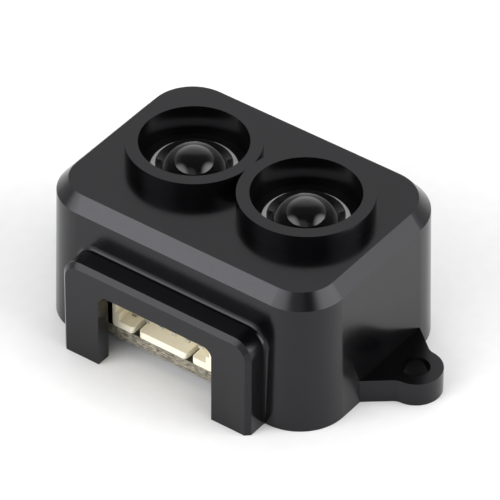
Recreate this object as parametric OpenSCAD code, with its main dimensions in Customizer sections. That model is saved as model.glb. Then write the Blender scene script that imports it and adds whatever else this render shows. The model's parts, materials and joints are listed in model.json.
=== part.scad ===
// Two-lens infrared distance sensor module: a moulded case with two lens barrels, a cable hood
// and two screw ears, closed at the back by its circuit board.
// Millimetres. The origin is at the middle of the overall footprint, on the mounting plane.
// +X runs along the length through both ears, +Y away from the cable hood, +Z along the lenses.

/* [Case] */
// Length of the case at its base, without the ears
case_l = 26.1; // [25.6:0.1:28]
// Width of the case at its base, without the hood
case_w = 18.6; // [18.2:0.1:20]
// Radius of the front upright corners at the base
front_r = 4.0; // [3.4:0.1:4.4]
// Radius of the back upright corners at the base
back_r = 4.6; // [4:0.1:5]
// Height of the drafted wall, up to the chamfer
wall_h = 11.4; // [11:0.1:13]
// Height of the top face
case_h = 12.5; // [12.2:0.1:14]
// Inward lean of each wall over its height
draft = 0.24; // [0.1:0.02:0.4]
// Horizontal run of the chamfer around the top face
chamfer_run = 0.92; // [0.6:0.02:1.1]
// Thickness of the side walls
wall_t = 1.2; // [1:0.1:1.3]
// Thickness of the top plate
top_t = 1.5; // [1.2:0.1:1.7]

/* [Lens barrels] */
// Distance between the two optical axes
barrel_pitch = 10.44; // [10.3:0.02:10.5]
// Outer diameter of a barrel
barrel_d = 10.5; // [10.3:0.05:10.6]
// Diameter of the open bore above the lens
bore_d = 8.5; // [8.2:0.05:8.7]
// Height of a barrel above the top face
barrel_rise = 1.5; // [1.2:0.05:2]
// Offset of the optical axes from the middle of the case, towards the back
barrel_y = 0.6; // [0.4:0.05:0.8]
// Depth of the lens seat below the rim
seat_depth = 3.2; // [3:0.05:3.4]
// Diameter of the light path below the lens
throat_d = 6.0; // [5.8:0.1:6.2]

/* [Lenses] */
// Diameter of the lens flange
lens_d = 6.75; // [6.6:0.05:6.9]
// Height of the flange above its seat
flange_h = 1.05; // [0.9:0.05:1.2]
// Radius of the domed face
dome_r = 2.5; // [2.4:0.05:2.6]
// Height of the dome above the lens seat
dome_rise = 2.45; // [2.3:0.05:2.5]

/* [Cable hood] */
// Width of the hood
hood_w = 17.5; // [17:0.1:17.8]
// Height of the hood above the mounting plane
hood_h = 8.7; // [8.5:0.1:9]
// How far the hood stands out from the foot of the wall
hood_out = 2.05; // [1.9:0.05:2.4]
// Radius of the hood's upper corners
hood_r = 1.6; // [1.4:0.1:2]
// Chamfer around the hood's face
hood_chamfer = 0.37; // [0.2:0.01:0.5]
// Fillet between the hood and the wall
hood_fillet = 0.35; // [0.2:0.05:0.5]
// Wall thickness of the hood
hood_t = 1.23; // [1.1:0.01:1.3]
// Width of the cable opening
mouth_w = 10.6; // [10:0.1:11]
// Height of the cable opening
mouth_h = 6.75; // [6.6:0.05:7]
// Radius of the opening's upper corners
mouth_r = 0.8; // [0.5:0.1:1]

/* [Screw ears] */
// Distance between the two mounting holes
ear_pitch = 30.8; // [30.6:0.1:32]
// Offset of the mounting holes from the middle of the case, towards the back
ear_y = 0.78; // [0.7:0.02:1.2]
// Thickness of an ear
ear_t = 2.05; // [1.8:0.05:2.4]
// Radius of an ear's round tip
ear_r = 2.1; // [2:0.05:2.3]
// Diameter of a mounting hole
ear_hole_d = 2.2; // [2:0.1:2.4]
// Width of an ear where it meets the wall
ear_root_w = 8.1; // [7.6:0.1:8.3]
// Angle between an ear's side and the wall's normal
ear_angle = 39; // [37:1:41]
// Fillet radius between an ear's side and its tip
ear_fillet = 1.0; // [0.6:0.1:1.2]

/* [Circuit board] */
// Thickness of the circuit board
board_t = 1.0; // [0.8:0.1:1.1]
// Depth of the board's back face above the mounting plane
board_recess = 0.88; // [0.8:0.02:1]
// Gap between the board and the case
board_gap = 0.15; // [0.1:0.05:0.2]

/* [Socket] */
// Number of contacts
contact_n = 6; // [6:1:6]
// Distance between neighbouring contacts
contact_pitch = 1.25; // [1.2:0.01:1.27]
// Width of the socket
socket_w = 9.4; // [9.2:0.1:9.5]
// Depth of the socket from its mouth to its back
socket_d = 4.0; // [3.8:0.1:4.1]
// Height of the socket above the board
socket_h = 3.6; // [3.4:0.1:3.8]
// Offset of the socket from the middle of the case
socket_x = -1.24; // [-1.4:0.02:-1.1]
// Thickness of the socket's floor
socket_floor = 0.6; // [0.5:0.02:0.64]
// Thickness of the socket's side walls
socket_side = 0.6; // [0.55:0.01:0.7]

/* [Hidden] */

$fn = 64;
eps = 0.02;

// Case
case_y = hood_out / 2;
chamfer_rise = case_h - wall_h;
rim_z = case_h + barrel_rise;
ceiling_z = case_h - top_t;
wall_y = case_y - case_w / 2;
face_y = wall_y - hood_out;

// Board
board_back = board_recess;
board_front = board_recess + board_t;
board_edge_y = wall_y + 0.55;
board_r = back_r - wall_t - board_gap;

// Optics
axis_x = barrel_pitch / 2;
axis_y = case_y + barrel_y;
seat_z = rim_z - seat_depth;
collar_r = 4.9;
collar_z = 9.4;
tube_r = 3.9;
tube_z = board_front + 1.12;
seal_r = throat_d / 2 + 0.05;

// Board fixings: screws on one diagonal, locating pegs on the other
fix_x = 9.75;
fix_y = 6.0;
boss_r = 1.7;
screw_d = 1.6;
screw_len = 5.0;
screw_head_d = 3.0;
screw_head_h = 0.75;
peg_r = 0.6;

// Baffle
baffle_t = 1.0;
baffle_w = 15.4;

// Socket
socket_front = board_edge_y;
socket_back = socket_front + socket_d;
contact_w = 0.38;
contact_h = 0.26;
contact_z = board_front + 1.25;
contact_tip_y = socket_front + 0.6;
contact_heel_y = socket_back + 0.3;
contact_toe_y = socket_back + 1.0;

// Side of a block towards +Y, with its two round upright edges. The profile lists how far
// the sides stand inside the l by w outline, and at what height: [[inset, z], ...]
module profiled_side(l, w, r, profile) {
    sx = l / 2 - r;
    sy = w / 2 - r;
    n = len(profile);
    overlap = 0.5;
    translate([-sx, sy, 0])
        rotate([90, 0, 90])
            linear_extrude(2 * sx)
                polygon([
                    [-overlap, profile[0][1]],
                    for (p = profile) [r - p[0], p[1]],
                    [-overlap, profile[n - 1][1]]
                ]);
    for (k = [0, 1])
        translate([(k == 0 ? sx : -sx), sy, 0])
            rotate([0, 0, 90 * k])
                rotate_extrude(angle = 90)
                    polygon([
                        [0, profile[0][1]],
                        for (p = profile) [r - p[0], p[1]],
                        [0, profile[n - 1][1]]
                    ]);
}

// Block with round upright edges, of radius r1 towards +Y and r2 towards -Y
module profiled_block(l, w, r1, r2, profile) {
    n = len(profile);
    translate([0, w / 2 - r1, 0])
        rotate([90, 0, 0])
            linear_extrude(w - r1 - r2)
                polygon([
                    for (p = profile) [l / 2 - p[0], p[1]],
                    for (i = [n - 1 : -1 : 0]) [profile[i][0] - l / 2, profile[i][1]]
                ]);
    profiled_side(l, w, r1, profile);
    mirror([0, 1, 0])
        profiled_side(l, w, r2, profile);
}

// Rectangle with round corners
module round_rect(l, w, r) {
    square([l - 2 * r, w], center = true);
    square([l, w - 2 * r], center = true);
    for (mx = [-1, 1], my = [-1, 1])
        translate([mx * (l / 2 - r), my * (w / 2 - r)])
            circle(r);
}

// Arch outline with round upper corners, standing on y = -foot
module arch(w, h, r, foot = 0) {
    translate([-w / 2, -foot])
        square([w, h + foot - r]);
    translate([-w / 2 + r, -foot])
        square([w - 2 * r, h + foot]);
    for (m = [-1, 1])
        translate([m * (w / 2 - r), h - r])
            circle(r);
}

// Slab that stands upright: the outline's y becomes Z, and the slab runs from y0 to y1
module upright(y0, y1) {
    translate([0, y1, 0])
        rotate([90, 0, 0])
            linear_extrude(y1 - y0)
                children();
}

module case_outside() {
    profiled_block(case_l, case_w, back_r, front_r, [
        [0, 0],
        [draft, wall_h],
        [draft + chamfer_run, case_h]
    ]);
}

module case_inside() {
    profiled_block(case_l - 2 * wall_t, case_w - 2 * wall_t, back_r - wall_t, front_r - wall_t, [
        [0, -1],
        [0, 0],
        [draft, ceiling_z]
    ]);
}

// The hood grows out of the wall with a fillet at its root and a chamfer around its face
module hood_outside() {
    depth = 0.5;
    reach = depth + hood_out;
    root = depth - draft * 0.75;
    steps = 3;
    intersection() {
        translate([0, wall_y + depth, 0])
            rotate([90, 0, 0])
                profiled_block(hood_w, 2 * hood_h, hood_r, hood_r, [
                    [-hood_fillet, 0],
                    for (i = [0 : steps])
                        [
                            hood_fillet * (sin(90 * i / steps) - 1),
                            root + hood_fillet * (1 - cos(90 * i / steps))
                        ],
                    [0, reach - hood_chamfer],
                    [hood_chamfer, reach]
                ]);
        translate([-hood_w, face_y - 1, 0])
            cube([2 * hood_w, reach + 2, 2 * hood_h]);
    }
}

// One ear, pointing along +X from the middle of the case
module ear() {
    reach = ear_pitch / 2;
    root_x = case_l / 2 - draft;
    side_gap = ear_root_w / 2 * cos(ear_angle) - (reach - root_x) * sin(ear_angle);
    fillet_run = sqrt(pow(ear_r + ear_fillet, 2) - pow(side_gap + ear_fillet, 2));
    difference() {
        linear_extrude(ear_t)
            difference() {
                union() {
                    translate([root_x - 1, -ear_root_w / 2])
                        square([1 + eps, ear_root_w]);
                    polygon([
                        [root_x, -ear_root_w / 2],
                        [reach, -side_gap / cos(ear_angle)],
                        [reach, side_gap / cos(ear_angle)],
                        [root_x, ear_root_w / 2]
                    ]);
                    for (m = [-1, 1])
                        mirror([0, m < 0 ? 1 : 0])
                            translate([reach, 0])
                                rotate(90 - ear_angle)
                                    polygon([
                                        [0, 0],
                                        [side_gap, fillet_run],
                                        [side_gap + ear_fillet, fillet_run],
                                        [ear_r * (side_gap + ear_fillet), ear_r * fillet_run]
                                            / (ear_r + ear_fillet)
                                    ]);
                    translate([reach, 0])
                        circle(ear_r);
                }
                for (m = [-1, 1])
                    mirror([0, m < 0 ? 1 : 0])
                        translate([reach, 0])
                            rotate(90 - ear_angle)
                                translate([side_gap + ear_fillet, fillet_run])
                                    circle(ear_fillet);
            }
        translate([reach, 0, -1])
            cylinder(h = ear_t + 2, d = ear_hole_d);
    }
}

// Hollow guide that carries a lens and keeps its light off the rest of the board
module light_guide() {
    translate([0, 0, collar_z])
        cylinder(h = case_h - collar_z - eps, r = collar_r);
    translate([0, 0, tube_z])
        cylinder(h = collar_z - tube_z + eps, r = tube_r);
    translate([0, 0, ceiling_z])
        cylinder(h = rim_z - ceiling_z, d = barrel_d);
}

module light_path() {
    translate([0, 0, tube_z - 1])
        cylinder(h = rim_z, d = throat_d);
    translate([0, 0, seat_z])
        cylinder(h = seat_depth + 1, d = bore_d);
}

// Pillars inside the case that hold the board
module board_pillars() {
    for (m = [-1, 1]) {
        translate([m * fix_x, case_y + m * fix_y, board_front])
            cylinder(h = ceiling_z - board_front + eps, r = boss_r);
        translate([m * (fix_x + 1.3), case_y + m * fix_y, (board_front + ceiling_z) / 2])
            cube([2.6, 0.8, ceiling_z - board_front + eps], center = true);
        translate([m * fix_x, case_y - m * fix_y, board_front])
            cylinder(h = ceiling_z - board_front + eps, r = boss_r - 0.4);
        translate([m * fix_x, case_y - m * fix_y, board_back + 0.15])
            cylinder(h = board_t, r = peg_r);
    }
}

module housing() {
    color([0.09, 0.09, 0.1])
        difference() {
            union() {
                difference() {
                    union() {
                        translate([0, case_y, 0])
                            case_outside();
                        hood_outside();
                        for (k = [0, 180])
                            translate([0, case_y + ear_y, 0])
                                mirror([k / 180, 0, 0])
                                    ear();
                    }
                    translate([0, case_y, 0])
                        case_inside();
                    upright(face_y + hood_t, wall_y + wall_t + 0.3)
                        arch(hood_w - 2 * hood_t, hood_h - hood_t, mouth_r, foot = 1);
                    upright(face_y - 1, face_y + hood_t + eps)
                        arch(mouth_w, mouth_h, mouth_r, foot = 1);
                }
                for (m = [-1, 1])
                    translate([m * axis_x, axis_y, 0])
                        light_guide();
                translate([-baffle_t / 2, case_y - case_w / 2 + wall_t / 2, collar_z])
                    cube([baffle_t, case_w - wall_t, ceiling_z - collar_z + eps]);
                board_pillars();
            }
            for (m = [-1, 1])
                translate([m * axis_x, axis_y, 0])
                    light_path();
            for (m = [-1, 1])
                translate([m * fix_x, case_y + m * fix_y, board_front - 1])
                    cylinder(h = screw_len + 1.2, d = screw_d + 0.04);
        }
}

// Lens seen from its flange: a plug below the seat, a chamfered flange and a dome
module lens() {
    dome_z = seat_z + dome_rise - dome_r;
    flange_z = seat_z + flange_h;
    edge = 0.35;
    translate([0, 0, seat_z - 0.6])
        cylinder(h = 0.6 + eps, d = throat_d - 0.1);
    translate([0, 0, seat_z])
        cylinder(h = flange_h - edge, d = lens_d);
    translate([0, 0, flange_z - edge])
        cylinder(h = edge, d1 = lens_d, d2 = lens_d - 2 * edge);
    intersection() {
        translate([0, 0, dome_z])
            sphere(dome_r);
        translate([0, 0, flange_z - eps])
            cylinder(h = dome_r, r = dome_r + 1);
    }
}

module emitter_lens() {
    color([0.75, 0.8, 0.85, 0.5])
        translate([-axis_x, axis_y, 0])
            lens();
}

module receiver_lens() {
    color([0.75, 0.8, 0.85, 0.5])
        translate([axis_x, axis_y, 0])
            lens();
}

// Ring that is pressed into the bore around the flange and holds the lens down
module lens_ring() {
    translate([0, 0, seat_z])
        difference() {
            cylinder(h = 0.6, d = bore_d - 0.02);
            translate([0, 0, -1])
                cylinder(h = 3, d = lens_d + 0.04);
        }
}

module emitter_lens_ring() {
    color([0.05, 0.05, 0.05])
        translate([-axis_x, axis_y, 0])
            lens_ring();
}

module receiver_lens_ring() {
    color([0.05, 0.05, 0.05])
        translate([axis_x, axis_y, 0])
            lens_ring();
}

// Divider between the sending and the receiving half, notched over the socket
module light_baffle() {
    color([0.07, 0.07, 0.07])
        difference() {
            translate([-baffle_t / 2, case_y - baffle_w / 2, board_front])
                cube([baffle_t, baffle_w, collar_z - board_front]);
            translate([-baffle_t, face_y, board_front - 1])
                cube([2 * baffle_t, contact_toe_y + 0.3 - face_y, socket_h + 1.4]);
        }
}

// Foam ring between the end of a light guide and the board
module light_seal() {
    translate([0, 0, board_front])
        difference() {
            cylinder(h = tube_z - board_front, r = tube_r);
            translate([0, 0, -1])
                cylinder(h = tube_z - board_front + 2, r = seal_r);
        }
}

module emitter_light_seal() {
    color([0.12, 0.12, 0.12])
        translate([-axis_x, axis_y, 0])
            light_seal();
}

module receiver_light_seal() {
    color([0.12, 0.12, 0.12])
        translate([axis_x, axis_y, 0])
            light_seal();
}

module main_board() {
    l = case_l - 2 * (wall_t + board_gap);
    w = case_w - 2 * (wall_t + board_gap);
    tongue_w = hood_w - 2 * (hood_t + board_gap);
    color([0.45, 0.42, 0.36])
        translate([0, 0, board_back])
            difference() {
                linear_extrude(board_t) {
                    translate([0, case_y])
                        round_rect(l, w, board_r);
                    translate([-tongue_w / 2, board_edge_y])
                        square([tongue_w, wall_t + 1]);
                }
                for (m = [-1, 1]) {
                    translate([m * fix_x, case_y + m * fix_y, -1])
                        cylinder(h = board_t + 2, d = screw_d + 0.2);
                    translate([m * fix_x, case_y - m * fix_y, -1])
                        cylinder(h = board_t + 2, r = peg_r + 0.05);
                }
            }
}

// Ceramic carrier of the laser, with a well that the die sits in
module laser_emitter() {
    color([0.9, 0.88, 0.82])
        translate([-axis_x, axis_y, board_front])
            difference() {
                linear_extrude(1.0)
                    square(3.4, center = true);
                translate([0, 0, 0.45])
                    linear_extrude(1)
                        square(2.2, center = true);
            }
}

module emitter_die() {
    color([0.7, 0.6, 0.3])
        translate([-axis_x, axis_y, board_front + 0.45])
            linear_extrude(0.15)
                square([1.0, 0.9], center = true);
}

module emitter_window() {
    color([0.8, 0.9, 0.9, 0.5])
        translate([-axis_x, axis_y, board_front + 1.0])
            linear_extrude(0.3)
                square(2.9, center = true);
}

module receiver_chip() {
    color([0.15, 0.15, 0.16])
        translate([axis_x, axis_y, board_front])
            linear_extrude(0.85)
                square(3.9, center = true);
}

module receiver_filter() {
    color([0.35, 0.1, 0.25, 0.8])
        translate([axis_x, axis_y, board_front + 0.85])
            linear_extrude(0.5)
                square(3.2, center = true);
}

// Flat chip package: on the inner face of the board, or on its back face
module chip(x, y, l, w, h, back = false) {
    translate([x, case_y + y, back ? board_back - h : board_front])
        linear_extrude(h)
            square([l, w], center = true);
}

module laser_driver_chip() {
    color([0.12, 0.12, 0.13])
        chip(-7.0, -4.5, 1.8, 1.8, 0.75);
}

module timing_chip() {
    color([0.12, 0.12, 0.13])
        chip(5.9, -5.6, 2.9, 2.9, 0.8);
}

module mcu_chip() {
    color([0.12, 0.12, 0.13])
        chip(-2.2, 1.2, 5.0, 5.0, 0.72, back = true);
}

module regulator_chip() {
    color([0.12, 0.12, 0.13])
        chip(6.6, -4.6, 2.0, 2.0, 0.7, back = true);
}

module power_inductor() {
    color([0.3, 0.3, 0.3])
        chip(-3.6, 6.2, 2.5, 2.0, 1.2);
}

module crystal() {
    color([0.8, 0.8, 0.78])
        chip(-7.6, 1.6, 1.6, 2.0, 0.5, back = true);
}

module bulk_capacitors() {
    color([0.75, 0.6, 0.4])
        for (k = [0 : 1])
            chip(2.3 + 3.6 * k, 6.2, 3.2, 1.6, 1.5);
}

module ceramic_capacitors() {
    color([0.72, 0.58, 0.42]) {
        for (k = [0 : 4])
            chip(-4.6 + 1.3 * k, 5.4, 0.5, 1.0, 0.5, back = true);
        for (k = [0 : 3])
            chip(4.3 + 1.3 * k, 1.6, 0.5, 1.0, 0.5, back = true);
        for (k = [0 : 1])
            chip(-7.9 + 1.1 * k, 6.4, 0.6, 1.2, 0.6);
    }
}

module chip_resistors() {
    color([0.16, 0.16, 0.17]) {
        for (k = [0 : 5])
            chip(-5.0 + 1.2 * k, -3.4, 0.5, 1.0, 0.35, back = true);
        for (k = [0 : 2])
            chip(4.6 + 1.3 * k, 4.6, 0.5, 1.0, 0.35, back = true);
        for (k = [0 : 1])
            chip(8.6, -2.4 + 1.0 * k, 1.0, 0.5, 0.35, back = true);
    }
}

function contact_x(i) = socket_x + (i - (contact_n + 1) / 2) * contact_pitch;

// Outline of a latch slot, with round corners where it leaves the lip
module latch_slot(w, d, r) {
    translate([-w / 2, -1])
        square([w, d + 1]);
    difference() {
        translate([-w / 2 - r, -1])
            square([w + 2 * r, 1 + r]);
        for (m = [-1, 1])
            translate([m * (w / 2 + r), r])
                circle(r);
    }
}

// Socket body: open at the front, with two latch slots that split the floor's lip
module socket_shell() {
    slot_w = 0.5;
    slot_x = 2.5;
    slot_d = 2.2;
    well_w = socket_w - 2 * socket_side;
    well_d = socket_d - 0.8;
    roof = 0.5;
    groove_z = 1.3;
    groove_t = 0.3;
    lip_r = 0.3;
    body_r = 0.25;
    color([0.93, 0.89, 0.78])
        translate([socket_x, socket_front, board_front])
            difference() {
                upright(0, socket_d)
                    translate([0, socket_h / 2])
                        round_rect(socket_w, socket_h, body_r);
                translate([-well_w / 2, -1, socket_floor])
                    cube([well_w, well_d + 1, socket_h - socket_floor - roof]);
                for (m = [-1, 1]) {
                    translate([m * slot_x, 0, -1])
                        linear_extrude(2)
                            latch_slot(slot_w, slot_d, lip_r);
                    translate([m * well_w / 2 - groove_t, -1, groove_z])
                        cube([2 * groove_t, well_d + 1, socket_h - roof - groove_z]);
                }
                for (i = [1 : contact_n])
                    translate([
                        contact_x(i) - socket_x - contact_w / 2 - eps / 2,
                        0,
                        contact_z - board_front - contact_h / 2 - eps / 2
                    ])
                        cube([contact_w + eps, socket_d + 1, contact_h + eps]);
            }
}

// Contact: a straight pin in the mouth, bent down behind the shell to a foot on the board
module socket_contact(i) {
    foot_h = 0.2;
    color([0.85, 0.83, 0.78])
        translate([contact_x(i) - contact_w / 2, 0, 0]) {
            translate([0, contact_tip_y, contact_z - contact_h / 2])
                cube([contact_w, contact_heel_y - contact_tip_y, contact_h]);
            translate([0, contact_heel_y - contact_h, board_front])
                cube([contact_w, contact_h, contact_z - board_front]);
            translate([0, contact_heel_y - contact_h, board_front])
                cube([contact_w, contact_toe_y - contact_heel_y + contact_h, foot_h]);
        }
}

// Solder anchor beside the socket: an upright leaf with a foot on the board
module socket_anchor(side) {
    leaf_t = 0.2;
    foot_w = 0.8;
    color([0.8, 0.79, 0.75])
        translate([socket_x + side * socket_w / 2, socket_front + 1.0, board_front])
            mirror([side < 0 ? 1 : 0, 0, 0]) {
                cube([leaf_t, 1.6, 1.5]);
                cube([foot_w, 1.6, leaf_t]);
            }
}

module socket_anchor_left() {
    socket_anchor(-1);
}

module socket_anchor_right() {
    socket_anchor(1);
}

// Pan-head screws from the back, with a cross recess
module board_screws() {
    color([0.75, 0.75, 0.74])
        for (m = [-1, 1])
            translate([m * fix_x, case_y + m * fix_y, 0])
                difference() {
                    union() {
                        translate([0, 0, board_back - screw_head_h])
                            cylinder(h = 0.2, d1 = screw_head_d - 0.5, d2 = screw_head_d);
                        translate([0, 0, board_back - screw_head_h + 0.2])
                            cylinder(h = screw_head_h - 0.2, d = screw_head_d);
                        translate([0, 0, board_back - eps])
                            cylinder(h = screw_len, d = screw_d);
                    }
                    for (a = [0, 90])
                        rotate([0, 0, a + 30])
                            translate([0, 0, board_back - screw_head_h])
                                cube([1.7, 0.35, 0.8], center = true);
                }
}

housing();
emitter_lens();
receiver_lens();
emitter_lens_ring();
receiver_lens_ring();
light_baffle();
emitter_light_seal();
receiver_light_seal();
main_board();
laser_emitter();
emitter_die();
emitter_window();
receiver_chip();
receiver_filter();
laser_driver_chip();
timing_chip();
mcu_chip();
regulator_chip();
power_inductor();
crystal();
bulk_capacitors();
ceramic_capacitors();
chip_resistors();
socket_shell();
for (i = [1 : contact_n])
    socket_contact(i);
socket_anchor_left();
socket_anchor_right();
board_screws();
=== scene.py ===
"""Looks of the two-lens infrared distance sensor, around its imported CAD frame. Metres."""
import json
import math

import bmesh
import bpy
from mathutils import Matrix, Vector


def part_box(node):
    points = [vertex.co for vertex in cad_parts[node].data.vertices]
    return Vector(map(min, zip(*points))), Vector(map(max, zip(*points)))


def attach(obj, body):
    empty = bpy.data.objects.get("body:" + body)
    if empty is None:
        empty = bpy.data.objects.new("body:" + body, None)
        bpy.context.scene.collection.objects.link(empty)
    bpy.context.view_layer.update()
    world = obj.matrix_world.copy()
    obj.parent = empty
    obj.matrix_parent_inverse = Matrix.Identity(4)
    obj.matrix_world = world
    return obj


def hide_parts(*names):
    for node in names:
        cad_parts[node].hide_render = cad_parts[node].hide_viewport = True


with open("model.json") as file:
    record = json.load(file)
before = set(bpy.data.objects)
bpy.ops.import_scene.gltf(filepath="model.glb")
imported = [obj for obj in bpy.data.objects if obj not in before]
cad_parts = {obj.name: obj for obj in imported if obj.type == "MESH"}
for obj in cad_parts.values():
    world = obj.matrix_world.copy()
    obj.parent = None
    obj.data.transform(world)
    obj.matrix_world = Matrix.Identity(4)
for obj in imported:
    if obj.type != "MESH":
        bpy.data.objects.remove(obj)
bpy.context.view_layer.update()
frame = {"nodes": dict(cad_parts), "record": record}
nodes = frame["nodes"]
MM = 0.001

# ---------------------------------------------------------------- node helpers


class Shader:
    """A node tree with one Principled shader and short ways to feed it."""

    def __init__(self, name, **values):
        self.material = bpy.data.materials.new(name)
        self.material.use_nodes = True
        self.tree = self.material.node_tree
        self.bsdf = self.tree.nodes["Principled BSDF"]
        self.place = self.node("ShaderNodeTexCoord").outputs["Object"]
        for key, value in values.items():
            self.bsdf.inputs[key.replace("_", " ")].default_value = value

    def node(self, kind, **settings):
        made = self.tree.nodes.new(kind)
        for key, value in settings.items():
            setattr(made, key, value)
        return made

    def link(self, source, target):
        self.tree.links.new(source, target)

    def noise(self, size, detail=3.0, roughness=0.5, stretch=None):
        """Noise whose blobs are about size metres wide, from 0 to 1."""
        made = self.node("ShaderNodeTexNoise")
        made.inputs["Scale"].default_value = 1.0 / size
        made.inputs["Detail"].default_value = detail
        made.inputs["Roughness"].default_value = roughness
        place = self.place
        if stretch:
            mapping = self.node("ShaderNodeMapping")
            mapping.inputs["Scale"].default_value = stretch
            self.link(place, mapping.inputs["Vector"])
            place = mapping.outputs["Vector"]
        self.link(place, made.inputs["Vector"])
        return made.outputs["Fac"]

    def cells(self, size):
        """Distance from the middle of cells about size metres wide."""
        made = self.node("ShaderNodeTexVoronoi")
        made.inputs["Scale"].default_value = 1.0 / size
        self.link(self.place, made.inputs["Vector"])
        return made.outputs["Distance"]

    def maths(self, operation, source, second=None):
        """One operation on a source and, where it takes two, a second source or a number."""
        made = self.node("ShaderNodeMath", operation=operation)
        self.link(source, made.inputs[0])
        if isinstance(second, (int, float)):
            made.inputs[1].default_value = second
        elif second is not None:
            self.link(second, made.inputs[1])
        return made.outputs["Value"]

    def span(self, source, low, high, out_low=0.0, out_high=1.0):
        """Value that goes from out_low to out_high as source goes from low to high."""
        made = self.node("ShaderNodeMapRange")
        for key, value in (
            ("From Min", low),
            ("From Max", high),
            ("To Min", out_low),
            ("To Max", out_high),
        ):
            made.inputs[key].default_value = value
        self.link(source, made.inputs["Value"])
        return made.outputs["Result"]

    def blend(self, factor, first, second):
        """Colour that goes from first to second as factor goes from 0 to 1."""
        made = self.node("ShaderNodeMix", data_type="RGBA")
        self.link(factor, made.inputs["Factor"])
        for value, name in ((first, "A"), (second, "B")):
            target = [s for s in made.inputs if s.name == name and s.type == "RGBA"][0]
            if isinstance(value, (tuple, list)):
                target.default_value = (*value[:3], 1.0)
            else:
                self.link(value, target)
        return [s for s in made.outputs if s.type == "RGBA"][0]

    def tones(self, source, low, high, first, second):
        """Colour that goes from first to second as source goes from low to high."""
        return self.blend(self.span(source, low, high), first, second)

    def axes(self, vector):
        """The X, Y and Z of a vector."""
        split = self.node("ShaderNodeSeparateXYZ")
        self.link(vector, split.inputs["Vector"])
        return split.outputs["X"], split.outputs["Y"], split.outputs["Z"]

    def colour(self, source):
        self.link(source, self.bsdf.inputs["Base Color"])

    def roughness(self, source):
        self.link(source, self.bsdf.inputs["Roughness"])

    def bump(self, source, height):
        """Adds relief of about height metres under whatever relief is there."""
        made = self.node("ShaderNodeBump")
        made.inputs["Distance"].default_value = height
        self.link(source, made.inputs["Height"])
        target = self.bsdf.inputs["Normal"]
        if target.is_linked:
            self.link(target.links[0].from_socket, made.inputs["Normal"])
        self.link(made.outputs["Normal"], target)


# ------------------------------------------------------------------- materials


def moulded_plastic(name, colour, rough, grain, relief, mottle=0.25, **values):
    """Moulded plastic: fine spark-eroded grain, faint flow mottling and uneven gloss."""
    shader = Shader(name, **values)
    flow = shader.noise(2.5 * MM, detail=4.0)
    darker = tuple(c * (1 - mottle) for c in colour)
    lighter = tuple(c * (1 + mottle) for c in colour)
    shader.colour(shader.tones(flow, 0.3, 0.7, darker, lighter))
    gloss = shader.noise(0.6 * MM, detail=5.0)
    uneven = 0.015
    shader.roughness(shader.span(gloss, 0.3, 0.7, rough - uneven, rough + uneven))
    shader.bump(shader.noise(grain, detail=2.0), relief)
    return shader.material


def clear_plastic(name, tint, ior):
    """Polished optical plastic or glass, with the faintest cloudiness in its tint."""
    shader = Shader(name, IOR=ior, Roughness=0.0, Transmission_Weight=1.0)
    cloud = shader.noise(0.8 * MM, detail=4.0)
    cloudy = tuple(0.96 * c for c in tint)
    shader.colour(shader.tones(cloud, 0.3, 0.7, tint, cloudy))
    return shader.material


def lens_radius(shader, middle):
    """Distance from the axis of whichever lens is nearer; the two mirror each other in X."""
    x, y, _ = shader.axes(shader.place)
    across = shader.maths("SUBTRACT", shader.maths("ABSOLUTE", x), middle.x)
    along = shader.maths("SUBTRACT", y, middle.y)
    squares = shader.maths("ADD", shader.maths("POWER", across, 2), shader.maths("POWER", along, 2))
    return shader.maths("SQRT", squares)


def lens_plastic(tint, ior):
    """Dark infrared-pass plastic: polished, but for the ground bevel around the flange."""
    low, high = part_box("receiver_lens")
    bevel_r = (high.x - low.x) / 2 - BEVEL_RUN
    shader = Shader("lens_plastic", IOR=ior, Sheen_Weight=0.35, Sheen_Roughness=0.42)
    radius = lens_radius(shader, (low + high) / 2)
    bevel = shader.span(radius, bevel_r, bevel_r + 0.01 * MM)
    grit = shader.noise(0.16 * MM, detail=5.0, roughness=0.7)
    ground = shader.tones(grit, 0.3, 0.6, (0.6, 0.6, 0.61), (0.97, 0.97, 0.98))
    shader.colour(shader.blend(bevel, tint, ground))
    shader.roughness(shader.span(bevel, 0.0, 1.0, 0.0, 0.45))
    clear = shader.span(bevel, 0.0, 1.0, 1.0, 0.0)
    shader.link(clear, shader.bsdf.inputs["Transmission Weight"])
    return shader.material


def plated(name, colour, rough):
    """Plated metal with barrelled micro-scratches and slightly uneven tone."""
    shader = Shader(name, Metallic=1.0)
    scratch = shader.noise(0.05 * MM, detail=4.0)
    tone = shader.noise(0.7 * MM, detail=3.0)
    dull = tuple(c * 0.82 for c in colour)
    shader.colour(shader.tones(tone, 0.35, 0.7, dull, colour))
    shader.roughness(shader.span(scratch, 0.3, 0.7, rough * 0.75, rough * 1.35))
    shader.bump(scratch, 0.001 * MM)
    return shader.material


def laminate():
    """Board: near-black solder mask on the two faces, glass-fibre laminate on the sawn edge."""
    shader = Shader("board_laminate")
    streak = shader.noise(0.16 * MM, detail=5.0, roughness=0.65, stretch=(0.35, 0.35, 1.6))
    weave = shader.noise(0.5 * MM, detail=2.0, stretch=(0.4, 0.4, 3.0))
    fibre = shader.tones(streak, 0.38, 0.66, (0.045, 0.038, 0.026), (0.5, 0.46, 0.36))
    fibre = shader.blend(shader.span(weave, 0.45, 0.75), fibre, (0.09, 0.08, 0.06))
    grain = shader.noise(0.9 * MM, detail=3.0)
    mask = shader.tones(grain, 0.3, 0.7, (0.004, 0.008, 0.006), (0.007, 0.013, 0.009))
    normal = shader.node("ShaderNodeNewGeometry").outputs["Normal"]
    upright = shader.maths("ABSOLUTE", shader.axes(normal)[2])
    shader.colour(shader.tones(upright, 0.45, 0.55, fibre, mask))
    shader.roughness(shader.span(upright, 0.45, 0.55, 0.7, 0.32))
    shader.bump(streak, 0.012 * MM)
    return shader.material


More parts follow.
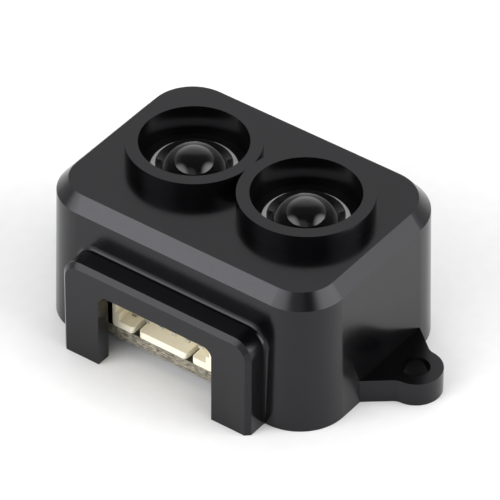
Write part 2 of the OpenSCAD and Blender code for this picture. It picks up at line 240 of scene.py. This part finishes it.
def foam():
    """Black open-cell foam."""
    shader = Shader("foam")
    cell = shader.cells(0.14 * MM)
    shader.colour(shader.tones(cell, 0.1, 0.6, (0.004, 0.004, 0.004), (0.03, 0.03, 0.031)))
    shader.roughness(shader.span(cell, 0.0, 0.6, 0.8, 0.95))
    shader.bump(cell, 0.04 * MM)
    return shader.material


def moulding_resin():
    """Chip package: matt black resin full of fine glass filler."""
    shader = Shader("chip_resin")
    filler = shader.noise(0.04 * MM, detail=4.0)
    shader.colour(shader.tones(filler, 0.35, 0.7, (0.012, 0.012, 0.013), (0.035, 0.035, 0.037)))
    shader.roughness(shader.span(filler, 0.3, 0.7, 0.42, 0.6))
    shader.bump(filler, 0.004 * MM)
    return shader.material


def fired_ceramic(name, colour, rough=0.5):
    """Ceramic, ferrite or ink: a fine grain over a slightly uneven tone."""
    shader = Shader(name)
    grain = shader.noise(0.06 * MM, detail=4.0)
    darker = tuple(c * 0.85 for c in colour)
    shader.colour(shader.tones(grain, 0.3, 0.7, darker, colour))
    shader.roughness(shader.span(grain, 0.3, 0.7, rough - 0.08, rough + 0.08))
    shader.bump(grain, 0.004 * MM)
    return shader.material


def paper_floor():
    """White background paper with a faint tooth."""
    shader = Shader("studio_floor")
    tooth = shader.noise(1.2 * MM, detail=3.0)
    shader.colour(shader.tones(tooth, 0.3, 0.7, (0.85, 0.85, 0.85), (0.87, 0.87, 0.87)))
    shader.roughness(shader.span(tooth, 0.3, 0.7, 0.85, 0.95))
    return shader.material


CASE_BLACK = (0.0015, 0.0015, 0.0018)
BEVEL_RUN = 0.4 * MM
SLOTS = {
    "case_plastic": moulded_plastic(
        "case_plastic", CASE_BLACK, 0.19, 0.09 * MM, 0.0006 * MM,
        Specular_IOR_Level=0.385, Specular_Tint=(0.94, 0.94, 1.0, 1.0),
    ),
    "lens_plastic": lens_plastic((0.004, 0.003, 0.0025), 1.53),
    "ring_plastic": moulded_plastic(
        "ring_plastic", (0.002, 0.002, 0.002), 0.5, 0.06 * MM, 0.002 * MM, Specular_IOR_Level=0.2
    ),
    "foam": foam(),
    "board_laminate": laminate(),
    "ceramic": fired_ceramic("ceramic", (0.8, 0.78, 0.72)),
    "gold": plated("gold", (0.86, 0.62, 0.26), 0.25),
    "window_glass": clear_plastic("window_glass", (0.97, 0.99, 0.98), 1.5),
    "filter_glass": clear_plastic("filter_glass", (0.25, 0.03, 0.1), 1.5),
    "chip_resin": moulding_resin(),
    "ferrite": fired_ceramic("ferrite", (0.09, 0.09, 0.095), 0.6),
    "nickel": plated("nickel", (0.62, 0.6, 0.56), 0.3),
    "capacitor_body": fired_ceramic("capacitor_body", (0.42, 0.27, 0.16), 0.4),
    "resistor_body": fired_ceramic("resistor_body", (0.02, 0.02, 0.024), 0.25),
    "socket_plastic": moulded_plastic(
        "socket_plastic", (0.93, 0.87, 0.70), 0.4, 0.08 * MM, 0.002 * MM, mottle=0.04
    ),
    "tinned_contact": plated("tinned_contact", (0.86, 0.85, 0.82), 0.2),
}


# -------------------------------------------------------------- CAD node finish

BEVELS = {"socket_shell": 0.07 * MM}


def soften(piece, width):
    """Rounds the sharp edges of a CAD node by a narrow bevel."""
    weld = piece.modifiers.new("weld", "WELD")
    weld.merge_threshold = 0.0008 * MM
    soft = piece.modifiers.new("soft_edges", "BEVEL")
    soft.width = width
    soft.segments = 2
    soft.limit_method = "ANGLE"
    soft.angle_limit = math.radians(28)
    soft.use_clamp_overlap = True
    soft.harden_normals = True


def dress(node_name, slot):
    """Gives a CAD node its material and, where wanted, softened edges."""
    piece = nodes[node_name]
    piece.data.materials.clear()
    piece.data.materials.append(SLOTS[slot])
    if node_name in BEVELS:
        soften(piece, BEVELS[node_name])


for entry in frame["record"]["subparts"]:
    dress(entry["node"], entry["material_slot"])


# ------------------------------------------------------------------ mesh helpers


def order_faces(mesh_data):
    """Sorts faces by their vertices, since a bevel lists them differently from run to run."""
    mesh_data.verts.index_update()
    count = len(mesh_data.verts)

    def rank(face):
        first, second, third = sorted(vert.index for vert in face.verts)[:3]
        return (first * count + second) * count + third

    mesh_data.faces.sort(key=rank)


def piece_from(name, mesh_data, slot, sharp, replaced=None):
    """Turns a bmesh into a piece of the sensor, smooth up to an angle of sharp degrees."""
    bmesh.ops.remove_doubles(mesh_data, verts=mesh_data.verts, dist=1e-8)
    bmesh.ops.recalc_face_normals(mesh_data, faces=mesh_data.faces)
    for edge in mesh_data.edges:
        edge.smooth = len(edge.link_faces) == 2 and edge.calc_face_angle() < math.radians(sharp)
    order_faces(mesh_data)
    mesh = bpy.data.meshes.new(name)
    mesh_data.to_mesh(mesh)
    mesh_data.free()
    mesh.shade_smooth()
    mesh.materials.append(SLOTS[slot])
    piece = bpy.data.objects.new(name, mesh)
    bpy.context.scene.collection.objects.link(piece)
    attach(piece, "root")
    if replaced:
        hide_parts(replaced)


def lathe(mesh_data, profile, centre, segments=128):
    """Revolves a profile of (radius, height) points about the upright axis through centre."""
    rings = []
    for radius, height in profile:
        if radius < 1e-7:
            rings.append([mesh_data.verts.new((centre[0], centre[1], height))])
            continue
        ring = []
        for k in range(segments):
            turn = 2 * math.pi * k / segments
            x = centre[0] + radius * math.cos(turn)
            y = centre[1] + radius * math.sin(turn)
            ring.append(mesh_data.verts.new((x, y, height)))
        rings.append(ring)
    for low, high in zip(rings, rings[1:]):
        for k in range(segments):
            after = (k + 1) % segments
            corners = [low[k % len(low)], low[after % len(low)]]
            corners += [high[after % len(high)], high[k % len(high)]]
            mesh_data.faces.new(list(dict.fromkeys(corners)))


# ------------------------------------------------------------------------ lenses


def make_lens(name, node_name):
    """Lens turned from one profile: plug, flange, ground bevel, groove and dome."""
    low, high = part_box(node_name)
    centre = (low + high) / 2
    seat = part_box(node_name + "_ring")[0].z
    flange_r = (high.x - low.x) / 2
    plug_r = 2.94 * MM
    dome_r = 2.5 * MM
    bevel_rise = 0.35 * MM
    flat = 0.06 * MM
    dome_steps = 40
    flange_z = seat + 1.05 * MM
    groove_z = seat + 0.7 * MM
    dome_z = high.z - dome_r
    start = math.asin((groove_z - dome_z) / dome_r)
    turns = [start + (math.pi / 2 - start) * k / dome_steps for k in range(dome_steps)]
    profile = [
        (0.0, low.z),
        (plug_r, low.z),
        (plug_r, seat),
        (flange_r, seat),
        (flange_r, flange_z - bevel_rise),
        (flange_r - BEVEL_RUN, flange_z),
        (flange_r - BEVEL_RUN - flat, flange_z),
    ]
    profile += [(dome_r * math.cos(t), dome_z + dome_r * math.sin(t)) for t in turns]
    profile.append((0.0, high.z))
    data = bmesh.new()
    lathe(data, profile, centre)
    piece_from(name, data, "lens_plastic", sharp=20, replaced=node_name)


make_lens("emitter_optic", "emitter_lens")
make_lens("receiver_optic", "receiver_lens")


# ----------------------------------------------------------------- board details

COPPER = 0.02 * MM
PASSIVES = ("bulk_capacitors", "ceramic_capacitors", "chip_resistors")
CHIPS = ("mcu_chip", "timing_chip", "laser_driver_chip", "regulator_chip")
board_low, board_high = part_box("main_board")


def solids(node_name):
    """Low and high corner of the box around each separate solid of a CAD node."""
    data = bmesh.new()
    data.from_mesh(nodes[node_name].data)
    data.transform(nodes[node_name].matrix_world)
    bmesh.ops.remove_doubles(data, verts=data.verts, dist=0.001 * MM)
    boxes = []
    unseen = set(data.verts)
    while unseen:
        queue = [unseen.pop()]
        places = []
        while queue:
            vert = queue.pop()
            places.append(vert.co.copy())
            linked = [edge.other_vert(vert) for edge in vert.link_edges]
            fresh = [other for other in linked if other in unseen]
            unseen.difference_update(fresh)
            queue += fresh
        low = [min(place[i] for place in places) for i in range(3)]
        high = [max(place[i] for place in places) for i in range(3)]
        boxes.append((low, high))
    data.free()
    return [(Vector(low), Vector(high)) for low, high in sorted(boxes)]


def soft_box(data, low, high, soften):
    """Adds a box with bevelled edges."""
    verts = bmesh.ops.create_cube(data, size=1.0)["verts"]
    for vert in verts:
        vert.co = [low[i] + (vert.co[i] + 0.5) * (high[i] - low[i]) for i in range(3)]
    edges = list(dict.fromkeys(edge for vert in verts for edge in vert.link_edges))
    bmesh.ops.bevel(data, geom=edges, offset=soften, segments=2, profile=0.5, affect="EDGES")


def prism(data, outline, along):
    """Adds a solid swept from a closed outline by the vector along."""
    near = [data.verts.new(point - along / 2) for point in outline]
    far = [data.verts.new(point + along / 2) for point in outline]
    data.faces.new(near)
    data.faces.new(far)
    for k in range(len(outline)):
        after = (k + 1) % len(outline)
        data.faces.new([near[k], near[after], far[after], far[k]])


def fillet(data, corner, out, up, run, rise, width):
    """Adds a concave solder fillet that runs out along the board and rises up a part's side."""
    steps = [(0, 0), (1, 0), (0.62, 0.08), (0.34, 0.26), (0.14, 0.56), (0, 1)]
    outline = [corner + out * (run * a) + up * (rise * b) for a, b in steps]
    prism(data, outline, out.cross(up) * width)


def on_back(low):
    """Whether a part with this low corner sits on the back of the board."""
    return low.z < board_low.z - 0.01 * MM


def joints(low, high, width, run, rise, pitch=None, axes=(0, 1)):
    """Where a part is soldered: one joint on each side, or a row of them when pitch is given."""
    up = Vector((0, 0, -1 if on_back(low) else 1))
    level = board_low.z if on_back(low) else board_high.z
    for axis in axes:
        length = high[1 - axis] - low[1 - axis]
        count = max(1, int((length - width) / pitch) + 1) if pitch else 1
        for sign in (-1, 1):
            out = Vector((0, 0, 0))
            out[axis] = sign
            for k in range(count):
                corner = (low + high) / 2
                corner[axis] = high[axis] if sign > 0 else low[axis]
                corner[1 - axis] += (k - (count - 1) / 2) * (pitch or 0)
                corner.z = level
                yield corner, out, up, run, rise, width


def solder_places():
    """Every solder joint on the board, in the terms that joints gives."""
    for node_name in PASSIVES:
        for low, high in solids(node_name):
            size = high - low
            axis = 0 if size.x > size.y else 1
            wide = size[1 - axis] * 0.9
            tall = size.z * 0.6
            yield from joints(low, high, width=wide, run=0.18 * MM, rise=tall, axes=(axis,))
    for node_name in CHIPS:
        lead = {"width": 0.24 * MM, "run": 0.2 * MM, "rise": 0.22 * MM, "pitch": 0.5 * MM}
        yield from joints(*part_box(node_name), **lead)
    for node_name in ("power_inductor", "crystal"):
        end = {"width": 1.0 * MM, "run": 0.25 * MM, "rise": 0.3 * MM}
        yield from joints(*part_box(node_name), **end, axes=(0,))
    for number in range(1, 7):
        foot = {"width": 0.34 * MM, "run": 0.3 * MM, "rise": 0.18 * MM}
        _, heel = joints(*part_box(f"socket_contact_{number}"), **foot, axes=(1,))
        yield heel
    for side, node_name in enumerate(("socket_anchor_left", "socket_anchor_right")):
        foot = {"width": 1.5 * MM, "run": 0.25 * MM, "rise": 0.18 * MM}
        yield list(joints(*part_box(node_name), **foot, axes=(0,)))[side]


def pad(data, corner, out, up, run, width):
    """Adds the copper pad under a solder joint, a little wider and longer than the joint."""
    side_margin = 0.03 * MM
    end_margin = 0.08 * MM
    half = out.cross(up) * (width / 2 + side_margin)
    reach = out * (run + end_margin)
    corners = [corner - half, corner + half + reach + up * COPPER]
    low = [min(c[i] for c in corners) for i in range(3)]
    high = [max(c[i] for c in corners) for i in range(3)]
    soft_box(data, low, high, 0.004 * MM)


def board_holes():
    """Centre, hole radius and pad radius of each screw hole and each via."""
    screw = (0.92 * MM, 1.62 * MM)
    via = (0.1 * MM, 0.22 * MM)
    for low, high in solids("board_screws"):
        yield (low + high) / 2, *screw
    low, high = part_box("mcu_chip")
    for k in range(6):
        left = low.x - 0.8 * MM - 0.1 * MM * (k % 2)
        right = high.x + 0.9 * MM + 0.25 * MM * (k % 3)
        yield Vector((left, low.y + k * 0.9 * MM, 0)), *via
        yield Vector((right, low.y + k * 0.8 * MM, 0)), *via


def hole_rings(data, centre, hole_r, pad_r):
    """Adds the copper ring around a hole on both faces of the board."""
    for level, up in ((board_low.z, -1), (board_high.z, 1)):
        proud = level + up * COPPER
        ring = [(hole_r, level), (pad_r, level), (pad_r, proud), (hole_r, proud)]
        lathe(data, [*ring, ring[0]], centre, segments=48)


def make_joints():
    """Solder fillets and the copper pads under them."""
    solder = bmesh.new()
    copper = bmesh.new()
    for corner, out, up, run, rise, width in solder_places():
        fillet(solder, corner + up * COPPER, out, up, run, rise, width)
        pad(copper, corner, out, up, run, width)
    for hole in board_holes():
        hole_rings(copper, *hole)
    piece_from("solder_joints", solder, "tinned_contact", sharp=40)
    piece_from("copper_pads", copper, "gold", sharp=40)


def make_end_caps():
    """Metal terminations around both ends of each capacitor and resistor."""
    data = bmesh.new()
    skin = 0.015 * MM
    share = 0.24
    for node_name in PASSIVES:
        for low, high in solids(node_name):
            size = high - low
            axis = 0 if size.x > size.y else 1
            outer_low = low - Vector((skin, skin, skin if on_back(low) else 0))
            outer_high = high + Vector((skin, skin, 0 if on_back(low) else skin))
            for at_low in (True, False):
                a, b = outer_low.copy(), outer_high.copy()
                if at_low:
                    b[axis] = low[axis] + size[axis] * share
                else:
                    a[axis] = high[axis] - size[axis] * share
                soft_box(data, a, b, 0.03 * MM)
    piece_from("end_caps", data, "tinned_contact", sharp=50)


def pin_dot(data, centre, top, up, ink):
    """Adds a low round dot of ink."""
    radius = 0.16 * MM
    edge = (radius - 0.01 * MM, top + up * ink * 2 / 3)
    profile = [(0.0, top), (radius, top), edge, (0.0, top + up * ink)]
    lathe(data, profile, centre, segments=32)


def bracket(data, corner, step_x, step_y, ink):
    """Adds an L of ink whose arms run from corner in the two step directions."""
    line = 0.1 * MM
    arm = 0.6 * MM
    legs = ((0, 0), (arm, 0), (arm, line), (line, line), (line, arm), (0, arm))
    outline = [corner + Vector((step_x * a, step_y * b, 0)) for a, b in legs]
    prism(data, outline, Vector((0, 0, ink)))


def make_marks():
    """Unlettered print: a pin-1 dot on each chip and corner brackets around it."""
    data = bmesh.new()
    inset = 0.42 * MM
    ink = 0.012 * MM
    for node_name in CHIPS:
        low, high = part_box(node_name)
        back = on_back(low)
        top, up = (low.z, -1) if back else (high.z, 1)
        pin_dot(data, Vector((low.x + inset, high.y - inset, 0)), top, up, ink)
        level = board_low.z if back else board_high.z
        for x, step_x in ((low.x - inset, 1), (high.x + inset, -1)):
            for y, step_y in ((low.y - inset, 1), (high.y + inset, -1)):
                bracket(data, Vector((x, y, level + up * ink / 2)), step_x, step_y, ink)
    piece_from("chip_marks", data, "ceramic", sharp=50)


def make_crystal_lid():
    """Welded lid on the crystal, stepped in from its can."""
    low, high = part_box("crystal")
    data = bmesh.new()
    inset = Vector((0.16 * MM, 0.16 * MM, 0))
    thick = Vector((0, 0, 0.05 * MM))
    top = Vector((high.x, high.y, low.z)) - inset
    soft_box(data, low + inset - thick, top, 0.02 * MM)
    piece_from("crystal_lid", data, "nickel", sharp=50)


make_joints()
make_end_caps()
make_marks()
make_crystal_lid()


# ------------------------------------------------------------------------ stage


def make_floor():
    """Sheet of paper a hair below the part, so that the two never share a plane."""
    size = 3.0
    gap = 0.02 * MM
    mesh = bpy.data.meshes.new("floor")
    mesh.from_pydata(
        [(-size, -size, 0), (size, -size, 0), (size, size, 0), (-size, size, 0)], [], [(0, 1, 2, 3)]
    )
    mesh.materials.append(paper_floor())
    floor = bpy.data.objects.new("floor", mesh)
    floor.location.z = -gap
    bpy.context.scene.collection.objects.link(floor)


def aimed(location, target, roll=0.0):
    """Rotation that looks from location to target, then rolls about the view axis."""
    look = (Vector(target) - Vector(location)).to_track_quat("-Z", "Y")
    return (look.to_matrix() @ Matrix.Rotation(roll, 3, "Z")).to_euler()


def direction(azimuth, elevation):
    """Unit vector; azimuth 0 looks back along -Y from the object, and 90 along +X."""
    az, el = math.radians(azimuth), math.radians(elevation)
    return Vector((math.sin(az) * math.cos(el), -math.cos(az) * math.cos(el), math.sin(el)))


def softbox(name, azimuth, elevation, distance, width, height, luminance, in_gloss=True):
    """Rectangular soft light, placed by the direction that it shines from."""
    target = Vector((0, 0, 6 * MM))
    light = bpy.data.lights.new(name, "AREA")
    light.shape = "RECTANGLE"
    light.size = width
    light.size_y = height
    light.energy = luminance * math.pi * width * height
    lamp = bpy.data.objects.new(name, light)
    lamp.location = target + direction(azimuth, elevation) * distance
    lamp.rotation_euler = aimed(lamp.location, target)
    lamp.visible_glossy = in_gloss
    bpy.context.scene.collection.objects.link(lamp)


def lobe(tree, place, azimuth, elevation, inner, outer, luminance):
    """Glow around a direction: luminance within the inner angle, none beyond the outer one."""
    facing = tree.nodes.new("ShaderNodeVectorMath")
    facing.operation = "DOT_PRODUCT"
    facing.inputs[1].default_value = direction(azimuth, elevation)
    tree.links.new(place, facing.inputs[0])
    fade = tree.nodes.new("ShaderNodeMapRange")
    fade.interpolation_type = "SMOOTHSTEP"
    fade.inputs["From Min"].default_value = math.cos(math.radians(outer))
    fade.inputs["From Max"].default_value = math.cos(math.radians(inner))
    fade.inputs["To Max"].default_value = luminance
    tree.links.new(facing.outputs["Value"], fade.inputs["Value"])
    return fade.outputs["Result"]


def make_world(base, lobes):
    """White studio of luminance base, with lobes added to it."""
    world = bpy.data.worlds.new("studio")
    world.use_nodes = True
    tree = world.node_tree
    backdrop = tree.nodes["Background"]
    backdrop.inputs["Color"].default_value = (1.0, 1.0, 1.0, 1.0)
    place = tree.nodes.new("ShaderNodeTexCoord").outputs["Generated"]
    total = None
    for values in lobes:
        add = tree.nodes.new("ShaderNodeMath")
        add.inputs[0].default_value = base
        if total:
            tree.links.new(total, add.inputs[0])
        tree.links.new(lobe(tree, place, *values), add.inputs[1])
        total = add.outputs["Value"]
    tree.links.new(total, backdrop.inputs["Strength"])
    bpy.context.scene.world = world


def make_camera():
    """Camera at the photograph's viewing angle, a long lens from about 0.42 m."""
    azimuth, elevation = 36.27, 39.25
    distance = 422.2 * MM
    roll = 0.005
    shift_right, shift_up = 0.454 * MM, 4.945 * MM
    turn = math.radians(azimuth)
    right = Vector((math.cos(turn), math.sin(turn), 0.0))
    back = direction(azimuth, elevation)
    up = back.cross(right)
    foot = Vector((0.0, 0.925 * MM, 0.0))
    aim = foot + right * shift_right + up * shift_up
    data = bpy.data.cameras.new("camera")
    data.sensor_width = 36.0
    data.lens = 398.1
    data.clip_start = 0.01
    data.clip_end = 20.0
    camera = bpy.data.objects.new("camera", data)
    camera.location = aim + back * distance
    camera.rotation_euler = aimed(camera.location, aim, roll)
    bpy.context.scene.collection.objects.link(camera)
    bpy.context.scene.camera = camera


# Azimuth, elevation, angle of full strength, angle where it ends, luminance.
LOBES = (
    (0, -90, 100, 142, 0.8),  # everything low around the object
    (18, 38, 6, 28, 0.5),  # small, in front
    (-144, 32, 12, 44, 0.68),  # behind
    (-25, 22, 14, 38, 3.2),  # bright, front left
    (105, 24, 12, 37, 3.9),  # bright, right
)

make_floor()
make_camera()
make_world(0.07, LOBES)
softbox(
    "key_left",
    azimuth=-27,
    elevation=24,
    distance=1.2,
    width=0.55,
    height=0.3,
    luminance=2.2,
)
softbox(
    "ceiling_fill",
    azimuth=0,
    elevation=90,
    distance=1.0,
    width=1.2,
    height=1.2,
    luminance=1.15,
    in_gloss=False,
)
bpy.context.scene.view_settings.view_transform = "Standard"
